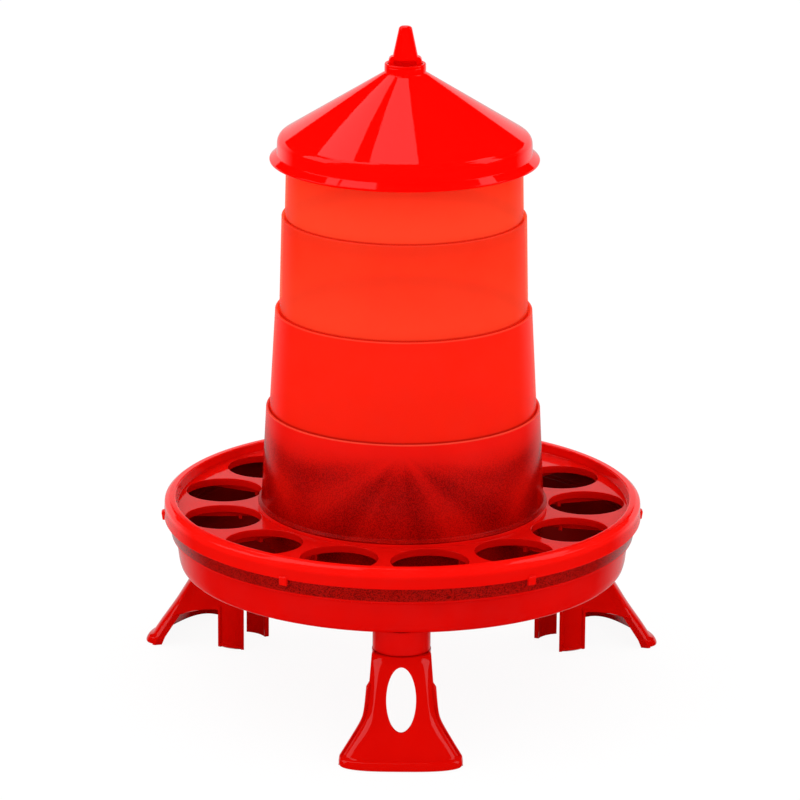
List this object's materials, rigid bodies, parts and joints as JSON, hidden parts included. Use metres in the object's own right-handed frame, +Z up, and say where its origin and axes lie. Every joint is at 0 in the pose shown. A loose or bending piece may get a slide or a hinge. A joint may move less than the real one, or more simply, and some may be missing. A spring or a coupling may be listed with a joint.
{
  "type": "gravity poultry feeder",
  "caption": "Gravity poultry feeder: a pan on push-in legs, a ring of round feed openings, a nested translucent hopper and a conical lid with a hanger.",
  "frame": {"origin": "centre of the pan's flat underside, on the hopper's axis", "axes": "+Z up along the hopper's axis, the front leg points along -Y, +X to the right seen from the front"},
  "size_m": [0.453, 0.4471, 0.574],
  "materials": {
    "pan_plastic": "moulded red polypropylene, semi-gloss",
    "feed_ring_plastic": "moulded bright red polypropylene, semi-gloss",
    "hopper_plastic": "translucent red polypropylene, satin",
    "lid_plastic": "moulded bright red polypropylene, glossy",
    "leg_plastic": "moulded red polypropylene, glossy"
  },
  "bodies": {
    "pan": {"base_pan": "pan_plastic", "feed_cone": "pan_plastic"},
    "feed_ring": {"feed_ring": "feed_ring_plastic"},
    "hopper_base": {"hopper_base": "hopper_plastic"},
    "hopper_lower": {"hopper_ring_lower": "hopper_plastic"},
    "hopper_middle": {"hopper_ring_middle": "hopper_plastic"},
    "hopper_top": {"hopper_ring_top": "hopper_plastic", "hanger": "lid_plastic"},
    "lid": {"lid": "lid_plastic"},
    "leg_front": {"leg_front": "leg_plastic"},
    "leg_left": {"leg_left": "leg_plastic"},
    "leg_right": {"leg_right": "leg_plastic"}
  },
  "joints": [
    {"name": "feed_ring_lift", "type": "slide", "parent": "pan", "child": "feed_ring", "axis": [0, 0, 1], "range_m": [0, 0.06]},
    {"name": "hopper_base_lift", "type": "slide", "parent": "feed_ring", "child": "hopper_base", "axis": [0, 0, 1], "range_m": [0, 0.06]},
    {"name": "hopper_lower_lift", "type": "slide", "parent": "hopper_base", "child": "hopper_lower", "axis": [0, 0, 1], "range_m": [0, 0.03]},
    {"name": "hopper_middle_lift", "type": "slide", "parent": "hopper_lower", "child": "hopper_middle", "axis": [0, 0, 1], "range_m": [0, 0.03]},
    {"name": "hopper_top_lift", "type": "slide", "parent": "hopper_middle", "child": "hopper_top", "axis": [0, 0, 1], "range_m": [0, 0.03]},
    {"name": "lid_lift", "type": "slide", "parent": "hopper_top", "child": "lid", "axis": [0, 0, 1], "range_m": [0, 0.12]},
    {"name": "leg_front_pull", "type": "slide", "parent": "pan", "child": "leg_front", "axis": [0, 0, -1], "range_m": [0, 0.04]},
    {"name": "leg_left_pull", "type": "slide", "parent": "pan", "child": "leg_left", "axis": [0, 0, -1], "range_m": [0, 0.04]},
    {"name": "leg_right_pull", "type": "slide", "parent": "pan", "child": "leg_right", "axis": [0, 0, -1], "range_m": [0, 0.04]}
  ]
}
